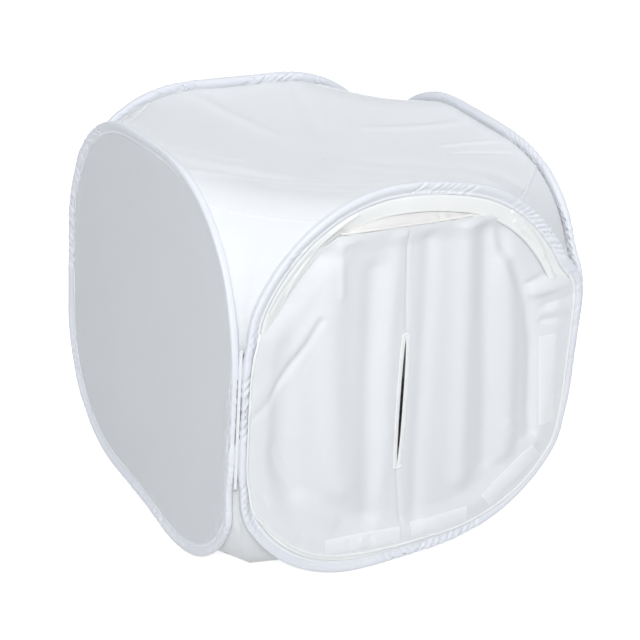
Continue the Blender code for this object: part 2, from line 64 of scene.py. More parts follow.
# The pull outward at eight places, an eighth of a turn apart from the +u side, in shares of the half
# height. It eases to nothing by the corner seams, where the hoops turn on each other.
PULL_SHARES = {
    "back": (0.047, 0.039, -0.002, 0.026, 0.006, -0.019, 0.0, -0.019),
    "left": (-0.004, 0.012, 0.066, 0.018, 0.020, 0.051, -0.060, -0.027),
    "front": (0.034, -0.082, 0.054, 0.019, 0.052, -0.006, 0.0, -0.016),
    "right": (-0.007, 0.006, -0.024, -0.054, -0.028, 0.001, 0.0, 0.002),
}
PULL_START, PULL_EASE = 0.090, 0.055


def smooth(value):
    """Eases shares from 0 to 1."""
    value = np.clip(value, 0.0, 1.0)
    return value * value * (3 - 2 * value)


def run_along(line):
    """How far along a line each of its points lies."""
    return np.concatenate([[0.0], np.cumsum(np.linalg.norm(np.diff(line, axis=0), axis=1))])


def evenly(loop, count):
    """A closed loop's points, evenly spaced along it, and its length."""
    ring = np.vstack([loop, loop[:1]])
    run = run_along(ring)
    at = np.linspace(0.0, run[-1], count, endpoint=False)
    return np.stack([np.interp(at, run, ring[:, i]) for i in (0, 1)], 1), run[-1]


def outward(loop):
    """The direction out of a closed loop at each of its points."""
    ahead = np.roll(loop, -2, 0) - np.roll(loop, 2, 0)
    ahead /= np.linalg.norm(ahead, axis=1)[:, None]
    return np.stack([ahead[:, 1], -ahead[:, 0]], 1)


def beside(line):
    """The direction to the right of an open line at each of its points."""
    ahead = np.gradient(line, axis=0)
    ahead /= np.linalg.norm(ahead, axis=1)[:, None]
    return np.stack([ahead[:, 1], -ahead[:, 0]], 1)


def plain_outline():
    """The unpulled outline over a sleeve, counter-clockwise from its +u side."""
    turn = np.linspace(0.0, 2 * math.pi, 16 * STATIONS, endpoint=False)
    axes = []
    for half, wave in ((HALF_WIDTH, np.cos(turn)), (HALF_HEIGHT, np.sin(turn))):
        share = STRAIGHT_SHARE + (1 - STRAIGHT_SHARE) * np.abs(wave) ** (2 / CORNER_POWER)
        axes.append(np.sign(np.round(wave, 9)) * share * half)
    return evenly(np.stack(axes, 1), 4 * STATIONS)[0]


PLAIN_OUTLINE = plain_outline()


def pulled_out(side, loop):
    """How far the cloth pulls a hoop outward at points of its plain outline."""
    angle = np.arctan2(loop[:, 1] / HALF_HEIGHT, loop[:, 0] / HALF_WIDTH)
    apart = angle[:, None] - np.arange(8) * math.pi / 4
    wave = 1 + np.cos(4 * apart) + 2 * sum(np.cos(k * apart) for k in (1, 2, 3))
    held = smooth((np.abs(loop[:, 1]) - PULL_START) / PULL_EASE)
    return wave @ np.array(PULL_SHARES[side]) * HALF_HEIGHT / 8 * held


class Hoop:
    """One hoop's outline in its own plane: u runs along +x or +y, v goes up from its middle."""

    def __init__(self, side):
        self.side = side
        self.drawn = PLAIN_OUTLINE + outward(PLAIN_OUTLINE) * pulled_out(side, PLAIN_OUTLINE)[:, None]
        self.loop, self.length = evenly(self.drawn, STATIONS)
        # Directions out of the loop, smoothed so that cloth drawn in from it doesn't crumple
        normal = outward(self.loop)
        for _ in range(6):
            normal = (np.roll(normal, 1, 0) + 2 * normal + np.roll(normal, -1, 0)) / 4
        self.normal = normal / np.linalg.norm(normal, axis=1)[:, None]
        self.run = np.arange(STATIONS) * self.length / STATIONS
        self.chain = np.append(self.run, self.length)

    def inset(self, depth):
        """The outline drawn in by depth, which may be one value or one for each station."""
        loop = self.loop - self.normal * np.reshape(depth, (-1, 1))
        loop[:, 1] = np.maximum(loop[:, 1], np.ravel(depth) - HALF_HEIGHT)
        return loop

    def inward(self, depth):
        """Where cloth lies in the plane, at depths in from the outline's stations."""
        return [self.loop[:, None, i] - self.normal[:, None, i] * depth for i in (0, 1)]

    def place(self, u, v, out):
        """Points of the hoop's plane, standing out of it by out, in the frame's axes."""
        u, v, out = np.broadcast_arrays(u, v, out)
        z = np.maximum(HALF_HEIGHT + v, GROUND_GAP)
        far = (HOOP_PLANE + out) * (-1 if self.side in ("front", "left") else 1)
        return np.stack([u, far, z] if self.side in ("front", "back") else [far, u, z], -1)


HOOPS = {side: Hoop(side) for side in SIDES}
FRONT = HOOPS["front"]


def relief(a, b, folds):
    """The height of folds over places a, b. Each fold has a width and a height, then its points."""
    total = np.zeros(np.broadcast(a, b).shape)
    for width, height, *points in folds:
        nearest = np.full(total.shape, 1e9)
        for (a0, b0), (a1, b1) in zip(points[:-1], points[1:]):
            da, db = a1 - a0, b1 - b0
            share = np.clip(((a - a0) * da + (b - b0) * db) / (da * da + db * db), 0.0, 1.0)
            nearest = np.minimum(nearest, np.hypot(a - a0 - share * da, b - b0 - share * db))
        total += height * np.exp(-((nearest / width) ** 2))
    return total


# Materials


def srgb(code):
    """A hex colour as linear red, green, blue and alpha."""
    parts = [int(code[i : i + 2], 16) / 255 for i in (1, 3, 5)]
    linear = [c / 12.92 if c <= 0.04045 else ((c + 0.055) / 1.055) ** 2.4 for c in parts]
    return (*linear, 1.0)


def new_finish(name):
    """A new material with its shader, for one finish."""
    finish = bpy.data.materials.new(name)
    finish.use_nodes = True
    return finish


def set_inputs(finish, node, inputs):
    """Gives a node's inputs their values, or links the sockets given for them."""
    for key, value in inputs.items():
        if isinstance(value, bpy.types.NodeSocket):
            finish.node_tree.links.new(value, node.inputs[key])
        else:
            node.inputs[key].default_value = value


def add_node(finish, kind, settings, inputs):
    """Adds a node with its settings and its inputs, each a value or a socket to link."""
    node = finish.node_tree.nodes.new("ShaderNode" + kind)
    for name, value in settings.items():
        setattr(node, name, value)
    set_inputs(finish, node, inputs)
    return node


def maths(finish, operation, *values):
    """The result of an operation on numbers or sockets."""
    return add_node(finish, "Math", {"operation": operation}, dict(enumerate(values))).outputs[0]


def noise(finish, place, scale, detail, **more):
    """Soft noise in space, from 0 to 1."""
    inputs = {"Vector": place, "Scale": scale, "Detail": detail, **more}
    return add_node(finish, "TexNoise", {}, inputs).outputs[0]


def blend(finish, share, first, second):
    """Two colours, mixed by a share."""
    inputs = {0: share, 6: first, 7: second}
    return add_node(finish, "Mix", {"data_type": "RGBA"}, inputs).outputs[2]


def bumped(finish, strength, distance, height, under=None):
    """The normals of a surface with small heights on it, laid over other normals if they are given."""
    inputs = {"Strength": strength, "Distance": distance, "Height": height}
    if under is not None:
        inputs["Normal"] = under
    return add_node(finish, "Bump", {}, inputs).outputs[0]


def set_finish(finish, inputs):
    """Sets the surface that a finish shows."""
    set_inputs(finish, finish.node_tree.nodes["Principled BSDF"], inputs)


# Real threads are 0.2 to 0.3 mm apart, too fine to show, so each weave is drawn coarser
def woven_cloth(name, code, shade, thread, roughness, sheen, crinkle, stitch_rows=(), glow=0.4):
    """White woven cloth: threads at a given step, a colour that changes a little from place to place,
    soft crinkles of a height in millimetres, rows of stitches at given distances across the piece, and
    a share of light that glows through."""
    finish = new_finish(name)
    place = add_node(finish, "UVMap", {"uv_map": "cloth"}, {}).outputs[0]
    split = add_node(finish, "SeparateXYZ", {}, {0: place})
    along, across = split.outputs[0], split.outputs[1]
    waves = []
    for axis in (along, across):
        waves.append(maths(finish, "SINE", maths(finish, "MULTIPLY", axis, 2 * math.pi / thread)))
    weave = maths(finish, "MULTIPLY", *waves)
    # Patches about 90 mm wide, specks of 2 mm and crinkles of 17 mm
    solid = add_node(finish, "TexCoord", {}, {}).outputs["Object"]
    mottle = noise(finish, solid, 11.0, 3.0)
    specks = noise(finish, solid, 500.0, 2.0)
    soft = noise(finish, solid, 60.0, 4.0, Roughness=0.6)
    tone = maths(finish, "MULTIPLY_ADD", weave, 0.05, mottle)
    colour = blend(finish, maths(finish, "MULTIPLY", tone, 0.45), srgb(code), srgb(shade))
    normal = bumped(finish, 0.3, 0.1 * MM, weave)
    normal = bumped(finish, 0.5, crinkle * MM, soft, normal)
    if stitch_rows:
        seam = None
        for row in stitch_rows:
            apart = maths(finish, "ABSOLUTE", maths(finish, "SUBTRACT", across, row))
            near = maths(finish, "LESS_THAN", apart, 0.5 * MM)
            seam = near if seam is None else maths(finish, "MAXIMUM", near, seam)
        # Lockstitch, 3 mm long with short gaps
        dash = maths(finish, "FRACT", maths(finish, "DIVIDE", along, 3.0 * MM))
        seam = maths(finish, "MULTIPLY", seam, maths(finish, "LESS_THAN", dash, 0.7))
        colour = blend(finish, seam, colour, srgb("#ffffff"))
        normal = bumped(finish, 0.5, 0.4 * MM, seam, normal)
    dull = maths(finish, "MULTIPLY_ADD", specks, 0.12, roughness - 0.06)
    surface = {
        "Base Color": colour,
        "Normal": normal,
        "Roughness": dull,
        "Sheen Weight": sheen,
        "Sheen Roughness": 0.4,
        "Specular IOR Level": 0.35,
        "Subsurface Weight": glow,
        "Subsurface Radius": (1.0, 1.0, 1.0),
        "Subsurface Scale": 2.0 * MM,
    }
    set_finish(finish, surface)
    return finish


# Nylon taffeta, smooth and a little shiny, cool white, sewn 13 mm in from the sleeve's fold
SLEEVE_TAFFETA = woven_cloth(
    "sleeve_taffeta", "#e4e6eb", "#d2d5dd", 1.2 * MM, 0.42, 0.1, 0.5, (13.0 * MM,), 0.12
)
# Nylon taffeta again, flat and matt in the closed sides, grey-white with the light behind it
PANEL_TAFFETA = woven_cloth("panel_taffeta", "#e6e9ec", "#dde1e6", 1.2 * MM, 0.6, 0.15, 0.25, glow=0.6)
# Lighter nylon for the roof and the floor, which lets light through and so looks brighter
ROOF_NYLON = woven_cloth("roof_nylon", "#f3f5f7", "#ebeff2", 1.2 * MM, 0.55, 0.2, 0.35, glow=0.5)
# Brushed polyester for the cover, quite matt, with soft shades in its folds
COVER_POLYESTER = woven_cloth("cover_polyester", "#ebedef", "#e2e5e8", 1.3 * MM, 0.7, 0.25, 0.5)
# The same in the header, with painted shade: its colour is a little warmer because it lies in the tape's
# shade
SHADED_HEADER_POLYESTER = woven_cloth("shaded_header_polyester", "#efeeeb", "#e4e3df", 1.3 * MM, 0.7, 0.25, 0.6)
# Loop tape: a napped nylon pile, matt and soft white, sewn down near both edges
LOOP_PILE = woven_cloth(
    "loop_pile", "#f3f4f2", "#e9ebe8", 1.6 * MM, 0.9, 0.3, 0.7, (2.0 * MM, 17.4 * MM), 0.2
)
# Ribbed polyester tape over the cover's cut edges, the whitest of the cloths
EDGE_TAPE = woven_cloth(
    "edge_tape", "#fdfefe", "#f5f7f8", 1.0 * MM, 0.6, 0.15, 0.25, (1.3 * MM, 4.7 * MM)
)
# Wider plain-woven tape over the hook strips, sewn near both edges, nearly as white
BAR_TAPE = woven_cloth("bar_tape", "#fbfcfe", "#f3f6f9", 1.2 * MM, 0.62, 0.2, 0.7, (2.0 * MM, 22.5 * MM))
# Hook tape: stiff woven nylon with a harder gleam
HOOK_NYLON = woven_cloth("hook_nylon", "#eef0f3", "#e2e5ea", 1.5 * MM, 0.4, 0.0, 0.9, (1.5 * MM,))
# Spun polyester thread, laid turn by turn in the slit's tacks, matt
SEWING_THREAD = woven_cloth("sewing_thread", "#f8fafb", "#eef1f4", 0.9 * MM, 0.7, 0.1, 0.3)


# Meshes of cloth

# The axes that the weave of a level cloth runs along, and of one that hangs
FROM_ABOVE, FROM_FRONT = [0, 1], [0, 2]
SHEET_THICKNESS = 0.5 * MM
COVER_THICKNESS = 0.6 * MM
PILE_THICKNESS = 0.6 * MM
TAPE_THICKNESS = 0.4 * MM


def cloth_mesh(name, points, finish, uv, ring=False, tube=False, thickness=SHEET_THICKNESS):
    """A grid of cloth, closed along its rows as a ring or across them as a tube."""
    rows, columns = points.shape[:2]
    i, j = np.meshgrid(
        np.arange(rows if ring else rows - 1), np.arange(columns if tube else columns - 1), indexing="ij"
    )
    i, j = i.ravel(), j.ravel()
    i2, j2 = (i + 1) % rows, (j + 1) % columns
    faces = np.stack([i * columns + j, i2 * columns + j, i2 * columns + j2, i * columns + j2], 1)
    mesh = bpy.data.meshes.new(name)
    mesh.from_pydata(points.reshape(-1, 3).tolist(), [], faces.tolist())
    corners = ((i, j), (i + 1, j), (i + 1, j + 1), (i, j + 1))
    layer = mesh.uv_layers.new(name="cloth")
    layer.data.foreach_set("uv", np.stack([uv[a, b] for a, b in corners], 1).ravel())
    shell = bmesh.new()
    shell.from_mesh(mesh)
    bmesh.ops.remove_doubles(shell, verts=shell.verts, dist=0.001 * MM)
    bmesh.ops.dissolve_degenerate(shell, dist=0.0001 * MM, edges=shell.edges)
    bmesh.ops.recalc_face_normals(shell, faces=shell.faces)
    shell.to_mesh(mesh)
    shell.free()
    mesh.shade_smooth()
    mesh.materials.append(finish)
    piece = bpy.data.objects.new(name, mesh)
    bpy.context.scene.collection.objects.link(piece)
    if thickness:
        bpy.ops.object.select_all(action="DESELECT")
        bpy.context.view_layer.objects.active = piece
        piece.select_set(True)
        wall = piece.modifiers.new("thickness", "SOLIDIFY")
        wall.thickness = thickness
        wall.offset = 0.0
        bpy.ops.object.modifier_apply(modifier=wall.name)
        # The faces stay smooth up to the cloth's cut edge
        mesh.set_sharp_from_angle(angle=math.radians(50))
    return piece


def fit(piece, body, node):
    """Puts a piece on its body, in the place of a node if one is named."""
    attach(piece, body)
    if node:
        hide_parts(node)


# Sleeves: depth in from the fold and half thickness, in millimetres
SLEEVE_SECTION = (
    (0.0, 0.0), (0.1, 1.9), (0.5, 3.3), (1.7, 4.25), (3.6, 4.5), (5.6, 4.4), (7.4, 3.7), (9.2, 2.6),
    (11.0, 1.7), (12.3, 1.15), (13.2, 1.0), (14.2, 1.35), (15.4, 1.25), (16.0, 0.6), (16.1, 0.0),
)
SLEEVE_WIDTH = 0.016
SLEEVE_POINTS = 38


def sleeve_loop():
    """A sleeve's closed section: depth in from its fold, and height out of its hoop's plane."""
    upper = np.array(SLEEVE_SECTION) * MM
    lower = upper[-2:0:-1] * (1, -1)
    return evenly(np.vstack([upper, lower]), SLEEVE_POINTS)[0]


# Groups of strong pull folds that show on a hoop: where each begins along it, its folds, their step
# and how far each leans from the sleeve's fold to its seam
PULL_GROUPS = {
    "left": (
        (0.020, 15, 0.0110, -0.019), (0.205, 6, 0.0120, 0.016), (0.800, 9, 0.0100, 0.024),
        (1.000, 8, 0.0105, -0.015),
    ),
    "front": (
        (0.345, 9, 0.0098, 0.016), (0.150, 9, 0.0105, 0.015), (1.270, 9, 0.0110, 0.014),
        (0.780, 8, 0.0100, -0.014),
    ),
    "back": ((0.330, 7, 0.0120, 0.015), (0.500, 5, 0.0130, -0.014)),
    "right": ((0.480, 8, 0.0110, 0.015), (0.650, 8, 0.0115, -0.016)),
}
WEAK_GROUPS, LONE_FOLDS = 14, 60


def sleeve_folds(hoop, seed):
    """Slanting pull folds across a sleeve: the strong groups, then weaker ones in groups and alone."""
    draw = np.random.default_rng(seed)
    folds = []
    for start, count, step, lean in PULL_GROUPS[hoop.side]:
        for index in range(count):
            at = start + index * step + draw.uniform(-0.0015, 0.0015)
            width, height = draw.uniform(0.0021, 0.0029), draw.uniform(0.0012, 0.0019)
            turn = lean * draw.uniform(0.8, 1.15)
            folds.append((width, height, (at, 0.001), (at + turn, draw.uniform(0.013, 0.019))))
    for _ in range(WEAK_GROUPS):
        start = draw.uniform(0.0, hoop.length)
        lean = draw.choice([-1, 1]) * draw.uniform(0.006, 0.016)
        step = draw.uniform(0.0075, 0.0110)
        for index in range(draw.integers(4, 9)):
            at = start + index * step + draw.uniform(-0.0012, 0.0012)
            low, high = draw.uniform(0.0, 0.003), draw.uniform(0.011, 0.019)
            width, height = draw.uniform(0.0018, 0.0026), draw.uniform(0.0005, 0.0011)
            folds.append((width, height, (at, low), (at + lean, high)))
    for _ in range(LONE_FOLDS):
        at, lean = draw.uniform(0.0, hoop.length), draw.uniform(-0.012, 0.012)
        width, height = draw.uniform(0.0022, 0.0036), draw.uniform(-0.0005, 0.0006)
        folds.append((width, height, (at, 0.003), (at + lean, 0.015)))
    return folds


FOLDS = {side: sleeve_folds(HOOPS[side], 20 + index) for index, side in enumerate(SIDES)}


def fold_height(side, run, depth, sheet=False):
    """The height of a sleeve's pull folds along its hoop, also where they run on into a sheet."""
    hoop = HOOPS[side]
    total = np.zeros(np.broadcast(run, depth).shape)
    for width, height, first, last in FOLDS[side]:
        middle = (first[0] + last[0]) / 2
        gap = (run - middle + hoop.length / 2) % hoop.length - hoop.length / 2 + middle
        close = np.abs(gap - middle) < 0.05
        slope = (last[0] - first[0]) / (last[1] - first[1])
        apart = np.abs(gap - first[0] - slope * (depth - first[1])) / math.hypot(1.0, slope)
        ease = smooth((depth - first[1] + 0.004) / 0.0065)
        end = 0.030 if sheet else last[1] + 0.001
        ease = ease * smooth((end - depth) / (0.016 if sheet else 0.004))
        total += np.where(close, height * np.exp(-((apart / width) ** 2)) * ease, 0.0)
    return total


def make_sleeve(side):
    """A hoop's folded sleeve: its section swept round the hoop, with pull folds on it."""
    hoop = HOOPS[side]
    section = sleeve_loop()
    facing = outward(section)
    depth, out = section[None, :, 0], section[None, :, 1]
    run = hoop.run[:, None]
    # The pull folds, and a slow ripple of the cloth between them
    lift = fold_height(side, run, depth)
    lift = lift + 0.0003 * np.sin(run / 0.021 + 3 * depth / SLEEVE_WIDTH) * np.sin(run / 0.093)
    lift = np.clip(lift, -0.0005, 0.0021)
    # The fold itself stays nearly straight, so that neighbouring sleeves clear each other when folded
    deep = depth + np.maximum(facing[None, :, 0], -0.2) * lift
    out = out + facing[None, :, 1] * lift
    uv = np.stack(np.meshgrid(hoop.chain, np.append(section[:, 0], 0.0), indexing="ij"), -1)
    points = hoop.place(*hoop.inward(deep), out)
    closed = {"ring": True, "tube": True, "thickness": 0.0}
    piece = cloth_mesh(f"{side}_sleeve_cloth", points, SLEEVE_TAFFETA, uv, **closed)
    fit(piece, f"{side}_frame", f"{side}_sleeve")


# A panel's edge, as deep in from the sleeve's fold as its slot, and the way from there to its middle
PANEL_EDGE = 0.0128
PANEL_REACH = 0.235
PANEL_BULGE = 1.3 * MM


def make_panel(side):
    """A closed side's cloth, tight in its hoop, with the sleeve's folds dying out in it."""
    hoop = HOOPS[side]
    rings = np.concatenate([np.linspace(0.0, 0.84, 24), np.linspace(0.86, 1.0, 18)])[:, None]
    pick = slice(None, None, 2)
    edge = hoop.inset(PANEL_EDGE)[pick]
    u, v = rings * edge[None, :, 0], rings * edge[None, :, 1]
    depth = PANEL_EDGE + (1 - rings) * PANEL_REACH
    out = 0.8 * fold_height(side, hoop.run[None, pick], depth, sheet=True)
    out = out * smooth((depth - 0.0158) / 0.005)
    out = out + 0.0014 * (1 - rings**2) * np.sin(u / 0.11 + 1.0) * np.cos(v / 0.13)
    points = hoop.place(u, v, np.clip(out, -1.2 * MM, PANEL_BULGE))
    wide, high = (np.concatenate([axis, axis[:, :1]], 1) for axis in (u, v))
    uv = np.stack([wide, high], -1)
    piece = cloth_mesh(f"{side}_panel_cloth", points, PANEL_TAFFETA, uv, tube=True)
    fit(piece, f"{side}_frame", f"{side}_panel")


# Roof and floor: the planes and the depth at which their cloth is sewn to the sleeves, the height over
# the hoops' middle where the corner seams end, the gussets' reach, and the floor's flat part
CLOTH_PLANE = 0.2478
CLOTH_INSET = 0.0135
SEAM_END = 0.082
GUSSET_REACH = CLOTH_PLANE - 0.130
ROOF_DIP = 0.034
FLOOR_HALF = 0.150
FLOOR_TOP = 0.0005


# The cloth's sewn edge in an unpulled hoop
SEWN_EDGE = PLAIN_OUTLINE - outward(PLAIN_OUTLINE) * CLOTH_INSET


def edge_arc():
    """The plain sewn edge from a corner seam up to its middle: distance in, and height."""
    part = SEWN_EDGE[(SEWN_EDGE[:, 0] >= 0) & (SEWN_EDGE[:, 1] >= SEAM_END)]
    part = part[np.argsort(-part[:, 0])]
    return CLOTH_PLANE - part[:, 0], part[:, 1]


ARC_IN, ARC_UP = edge_arc()
CORNER_IN = float(ARC_IN[0])


def edge_pull(side, up):
    """How far a hoop's pull moves the cloth's sewn edge: places along it, slides and lifts."""
    drawn = HOOPS[side].drawn
    moved = drawn - outward(drawn) * CLOTH_INSET - SEWN_EDGE
    half = SEWN_EDGE[:, 1] > 0 if up else SEWN_EDGE[:, 1] < 0
    order = np.argsort(SEWN_EDGE[half, 0])
    return SEWN_EDGE[half, 0][order], moved[half][order]


EDGE_PULLS = {(side, up): edge_pull(side, up) for side in SIDES for up in (True, False)}


def cloth_place(x, y, up):
    """Points of the roof or of the floor over the plan, pulled with the hoops round them."""
    arc = np.interp(2 * CLOTH_PLANE - np.abs(x) - np.abs(y), ARC_IN, ARC_UP)
    if up:
        shares = [1 - np.clip(np.abs(axis) / CLOTH_PLANE, 0, 1) ** 2 for axis in (x, y)]
        z, hold = arc - ROOF_DIP * shares[0] * shares[1], 1.0
    else:
        reach = (CLOTH_PLANE - np.maximum(np.abs(x), np.abs(y))) / (CLOTH_PLANE - FLOOR_HALF)
        z, hold = -(arc + (HALF_HEIGHT - FLOOR_TOP - arc) * smooth(reach)), 1 - smooth(reach)
    # Each hoop's pull counts by how near the place is to it
    steps = {"left": x, "right": -x, "front": y, "back": -y}
    weights = {side: np.maximum(CLOTH_PLANE + step, 0.0001) ** -2.0 for side, step in steps.items()}
    slip = np.maximum(np.abs(x) + np.abs(y) - CLOTH_PLANE, 0.0)
    moved = [x, y, z + HALF_HEIGHT]
    for side in SIDES:
        axis = 0 if side in ("front", "back") else 1
        places, pull = EDGE_PULLS[side, up]
        u = np.sign((x, y)[axis]) * slip
        share = hold * weights[side] / sum(weights.values())
        moved[axis] = moved[axis] + share * np.interp(u, places, pull[:, 0])
        moved[2] = moved[2] + share * np.interp(u, places, pull[:, 1])
    moved[2] = np.maximum(moved[2], FLOOR_TOP)
    return np.stack(moved, -1)


# Folds of the roof from above, in metres: width, height, then the places each runs through
ROOF_FOLDS = (
    (0.010, 0.0032, (-0.236, -0.075), (-0.110, -0.105), (0.010, -0.150)),
    (0.022, -0.0035, (-0.236, -0.045), (-0.110, -0.080), (0.020, -0.120)),
    (0.013, 0.0025, (-0.230, -0.015), (-0.150, -0.040), (-0.060, -0.090)),
    (0.011, -0.0023, (-0.150, -0.130), (-0.020, -0.190), (0.060, -0.235)),
    (0.009, 0.0020, (-0.232, 0.040), (-0.120, 0.000)),
    (0.014, 0.0025, (0.020, -0.040), (0.090, -0.130), (0.150, -0.225)),
    (0.018, -0.0032, (0.060, -0.030), (0.130, -0.110), (0.190, -0.190)),
    (0.009, 0.0020, (0.120, 0.080), (0.232, 0.020)),
    (0.005, 0.0019, (0.170, -0.030), (0.236, -0.060)),
    (0.004, -0.0017, (0.160, -0.060), (0.228, -0.100)),
    (0.012, 0.0023, (-0.070, 0.236), (-0.020, 0.110)),
    (0.013, -0.0023, (0.090, 0.236), (0.050, 0.100)),
)


def roof_folds(x, y):
    """The height of the roof's folds, which die out at its sewn edge."""
    edge = CLOTH_PLANE - np.maximum(np.abs(x), np.abs(y))
    return smooth(edge / 0.030) * relief(x, y, ROOF_FOLDS)


def turned(side, across, inward):
    """Places in the plan from a place across a side and a distance from the middle towards it."""
    places = {"back": (across, inward), "right": (inward, -across)}
    places.update(front=(-across, -inward), left=(-inward, across))
    return places[side]


def gather(piece):
    """Gives a piece of cloth its own copy of its mesh."""
    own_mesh(piece)


def make_quarter(side, up):
    """The share of the roof or the floor between one hoop and the diagonals."""
    kind = "roof" if up else "floor"
    diagonal = CLOTH_PLANE - GUSSET_REACH / 2
    across = np.linspace(-diagonal, diagonal, 150)[None, :]
    outer = np.minimum(CLOTH_PLANE, 2 * CLOTH_PLANE - GUSSET_REACH - np.abs(across))
    inner = np.minimum(np.maximum(np.abs(across), 0.0 if up else FLOOR_HALF), outer)
    along = np.linspace(0, 1, 60)[:, None]
    x, y = turned(side, across + 0 * along, outer + (inner - outer) * along)
    points = cloth_place(x, y, up)
    if up:
        points[..., 2] += roof_folds(x, y)
    piece = cloth_mesh(f"{side}_{kind}_cloth", points, ROOF_NYLON, points[..., FROM_ABOVE])
    fit(piece, f"{side}_frame", f"{side}_{kind}")
    gather(piece)


# A gusset half's pattern before it is sewn in, and the raised seam along its edge: height, half width
# and distance in from the edge
GUSSET_SEAM = (0.0019, 0.0020, 0.003)


def gusset_half(side, sign, up, name):
    """Half of a corner's gusset, from one hoop to the corner's diagonal, and the seam on its edge."""
    hem = GUSSET_REACH - 0.009
    reach = np.concatenate([np.linspace(CORNER_IN, hem, 40)[:-1], np.linspace(hem, GUSSET_REACH, 11)])
    reach = reach[:, None]
    share = np.linspace(0.0, 0.5, 16)[None, :]
    across = sign * (CLOTH_PLANE - reach * (1 - share))
    x, y = turned(side, across, CLOTH_PLANE - reach * share)
    points = cloth_place(x, y, up)
    height, half, inward = GUSSET_SEAM
    raised = height * np.exp(-(((reach - GUSSET_REACH + inward) / half) ** 2)) + 0 * share
    points[..., 2] += (1 if up else -1) * raised
    points[..., 2] = np.maximum(points[..., 2], FLOOR_TOP)
    piece = cloth_mesh(name, points, ROOF_NYLON, points[..., FROM_FRONT])
    fit(piece, f"{side}_frame", None)
    return piece


# Each corner's two sides, with the sign of the corner's place across each of them
CORNERS = {
    "back_right": (("back", 1), ("right", -1)),
    "back_left": (("back", -1), ("left", 1)),
    "front_left": (("front", 1), ("left", -1)),
    "front_right": (("front", -1), ("right", 1)),
}


def make_gussets(up):
    """The four gussets of the roof or of the floor, in two halves each."""
    kind = "roof" if up else "floor"
    for corner, halves in CORNERS.items():
        for side, sign in halves:
            piece = gusset_half(side, sign, up, f"{corner}_{kind}_gusset_{side}_half")
            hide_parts(f"{corner}_{kind}_gusset")
            gather(piece)


def make_floor_middle():
    """The floor's flat middle, lying on the ground with a slight ripple."""
    steps = np.linspace(-FLOOR_HALF, FLOOR_HALF, 60)
    x, y = np.meshgrid(steps, steps, indexing="ij")
    edge = smooth((FLOOR_HALF - np.maximum(np.abs(x), np.abs(y))) / 0.02)
    z = FLOOR_TOP + edge * 0.0012 * (1 + np.sin(x / 0.023 + y / 0.05) * np.cos(y / 0.031))
    points = np.stack([x, y, z], -1)
    piece = cloth_mesh("floor_middle_cloth", points, ROOF_NYLON, points[..., FROM_ABOVE])
    fit(piece, "back_frame", "floor_sheet")
    gather(piece)


# Front rim, loop tape, header and cover: depths in from the sleeve's fold, the header seam's height over
# the hoop's middle and how far it stands out
RIM_OUTER, RIM_INNER = 0.0130, 0.037
TAPE_OUTER, TAPE_INNER = 0.0165, 0.0365
HEADER_LINE = 0.2115
HEADER_OUT = 0.0032


def front_run(u, v):
    """How far along the front hoop its outline passes closest to a place."""
    gaps = np.hypot(FRONT.loop[:, 0] - u, FRONT.loop[:, 1] - v)
    return float(FRONT.run[int(np.argmin(gaps))])


# Long creases of the front band: width and height, then places along the hoop and depths
BAND_CREASES = (
    (0.0024, 0.0013, (front_run(-0.105, 0.235), 0.019), (front_run(-0.215, 0.165), 0.033)),
    (0.0024, -0.0010, (front_run(-0.130, 0.225), 0.028), (front_run(-0.225, 0.140), 0.022)),
    (0.0022, 0.0023, (front_run(0.215, 0.130), 0.031), (front_run(0.120, 0.215), 0.018)),
    (0.0022, -0.0015, (front_run(0.225, 0.110), 0.024), (front_run(0.150, 0.195), 0.031)),
    (0.0020, 0.0018, (front_run(0.190, 0.155), 0.030), (front_run(0.130, 0.210), 0.026)),
)


# The cover draws the front band in by this much at its left, where it pulls hardest
LEFT_DRAW = 0.0058


def drawn_in(loop, depth):
    """How far the front band is drawn in at places of its loop and depths in from the fold."""
    turn = np.degrees(np.arctan2(loop[:, 1], loop[:, 0]))
    left = np.where(turn > 0, smooth((turn - 98) / 30), 1 - smooth((turn + 180) / 40))
    return LEFT_DRAW * left[:, None] * smooth((depth - 0.0160) / 0.021)


def front_band(name, depths, outs, finish, node, slot, thickness):
    """A band of cloth round the open front, at depths in from the sleeve's fold."""
    run, depths = FRONT.run[:, None], np.array(depths)[None, :]
    out = np.array(outs)[None, :] + relief(run, depths, BAND_CREASES)
    out = out + 0.00025 * np.sin(run / 0.013) * np.sin(run / 0.057) - drawn_in(FRONT.loop, depths)
    points = FRONT.place(*FRONT.inward(depths), out)
    uv = np.stack(np.meshgrid(FRONT.chain, depths[0] - depths[0, 0], indexing="ij"), -1)
    piece = cloth_mesh(name, points, finish, uv, ring=True, thickness=thickness)
    fit(piece, "front_frame", node)


def make_front_band():
    """The rim's hem inside the front sleeve, and the loop tape sewn on it, a little raised."""
    depths = np.linspace(RIM_OUTER, RIM_INNER, 13)
    rim = ("front_rim", "sleeve_cloth", SHEET_THICKNESS)
    front_band("front_rim_hem", depths, 0 * depths, SLEEVE_TAFFETA, *rim)
    depths = np.linspace(TAPE_OUTER, TAPE_INNER, 15)
    crown = 0.0010 + 0.0006 * np.sin(np.linspace(0, math.pi, 15)) ** 0.5
    tape = ("loop_tape", "loop_tape", PILE_THICKNESS)
    front_band("loop_tape_band", depths, crown, LOOP_PILE, *tape)


def header_z(x):
    """The header seam dips a little to the right."""
    return HEADER_LINE + 0.0010 - 0.020 * x


def sides_of(loop, v, hand):
    """How far a loop reaches to one hand at each height v."""
    half = loop[np.sign(loop[:, 0]) == hand]
    order = np.argsort(half[:, 1])
    return np.interp(v, half[order, 1], np.abs(half[order, 0]))


